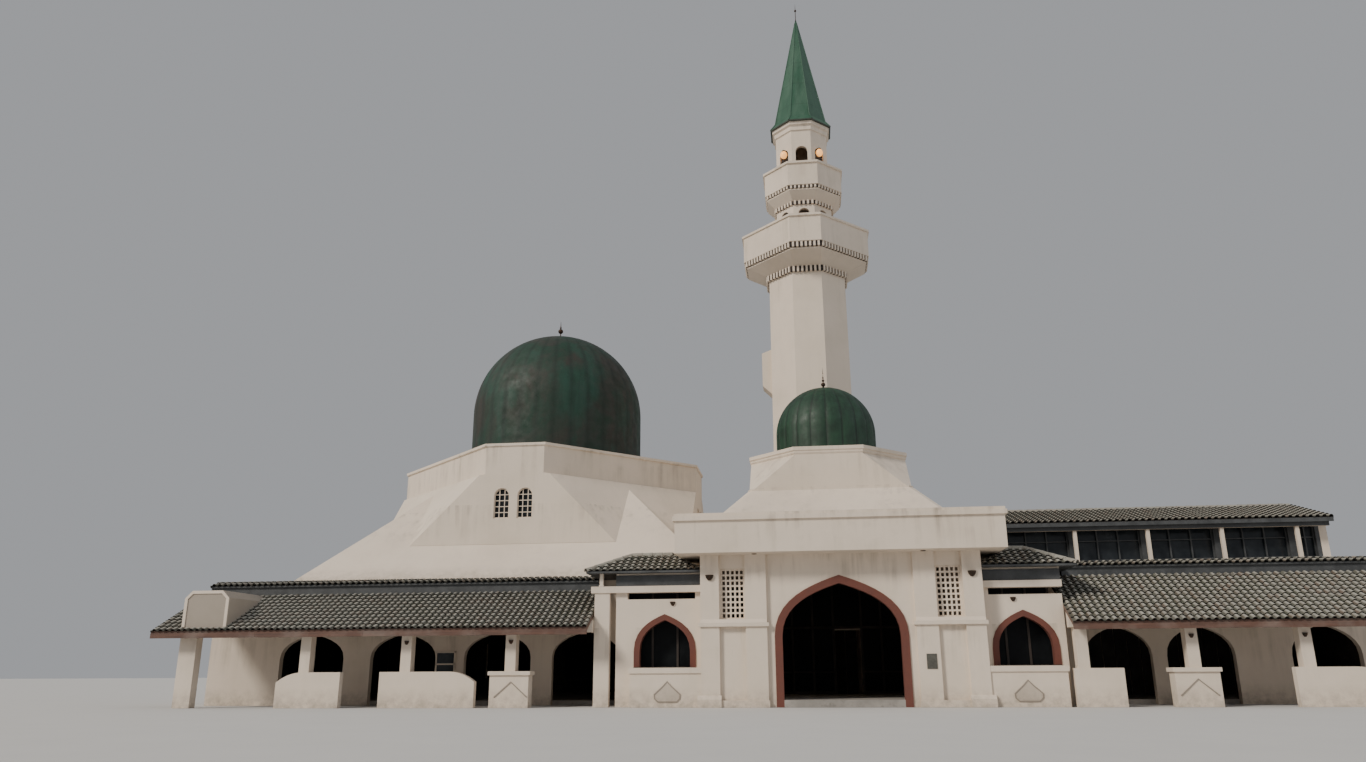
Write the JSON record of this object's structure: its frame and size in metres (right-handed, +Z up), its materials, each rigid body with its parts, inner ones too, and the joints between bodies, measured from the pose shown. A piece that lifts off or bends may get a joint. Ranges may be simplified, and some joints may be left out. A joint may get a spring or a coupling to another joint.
{
  "type": "mosque building",
  "caption": "White plastered mosque with a domed porch, a domed prayer hall on an octagonal drum, a tall minaret with a green spire, and low tiled arcades on both sides.",
  "frame": {"origin": "middle of the part's bounding box, on the ground", "axes": "+X to the right along the front, +Y back into the building, +Z up"},
  "size_m": [39.8, 18.98, 33.75],
  "materials": {
    "plaster": "matt painted plaster, warm white",
    "concrete": "trowelled",
    "terracotta": "matt red brown",
    "roof_tile": "weathered clay, grey green",
    "dark_board": "painted dark grey",
    "dome_green": "satin green coating, weathered",
    "spire_green": "satin green",
    "glass": "dark tinted",
    "dark_metal": "dark, weathered"
  },
  "bodies": {
    "root": {"porch_floor": "concrete", "porch_right_pier": "plaster", "porch_left_pier": "plaster", "porch_arch_head": "plaster", "porch_arch_trim": "terracotta", "porch_right_screen": "plaster", "porch_left_screen": "plaster", "porch_right_wall": "plaster", "porch_left_wall": "plaster", "porch_back_wall": "plaster", "porch_canopy": "plaster", "porch_roof": "plaster", "porch_dome_ring": "plaster", "porch_dome": "dome_green", "porch_finial": "dark_metal", "hall_front_wall_left": "plaster", "hall_front_wall_middle": "plaster", "hall_front_wall_right": "plaster", "hall_back_wall": "plaster", "hall_left_wall": "plaster", "hall_right_wall": "plaster", "hall_floor": "concrete", "hall_flat_roof": "concrete", "hall_roof": "plaster", "hall_front_glass": "glass", "hall_back_glass": "glass", "hall_left_glass": "glass", "hall_right_glass": "glass", "hall_drum_roof": "concrete", "hall_dome": "dome_green", "hall_finial": "dark_metal", "minaret_base": "plaster", "minaret_shaft": "plaster", "minaret_lower_balcony": "plaster", "minaret_upper_balcony": "plaster", "minaret_neck": "plaster", "minaret_lantern": "plaster", "minaret_spire": "spire_green", "minaret_rod": "dark_metal", "left_arcade_columns": "plaster", "right_arcade_columns": "plaster", "left_arcade_roof": "roof_tile", "right_arcade_roof": "roof_tile", "left_upper_eave": "dark_board", "right_upper_eave": "dark_board", "left_end_gable": "plaster", "left_link_wall": "plaster", "left_link_arch_trim": "terracotta", "left_link_roof": "roof_tile", "right_link_wall": "plaster", "right_link_arch_trim": "terracotta", "right_link_roof": "roof_tile", "right_arcade_back_wall": "plaster", "right_block_walls": "plaster", "right_block_floor": "concrete", "right_block_slab": "concrete", "right_block_front": "plaster", "right_block_glass": "glass", "right_block_posts": "plaster", "right_block_roof": "roof_tile"}
  },
  "joints": []
}
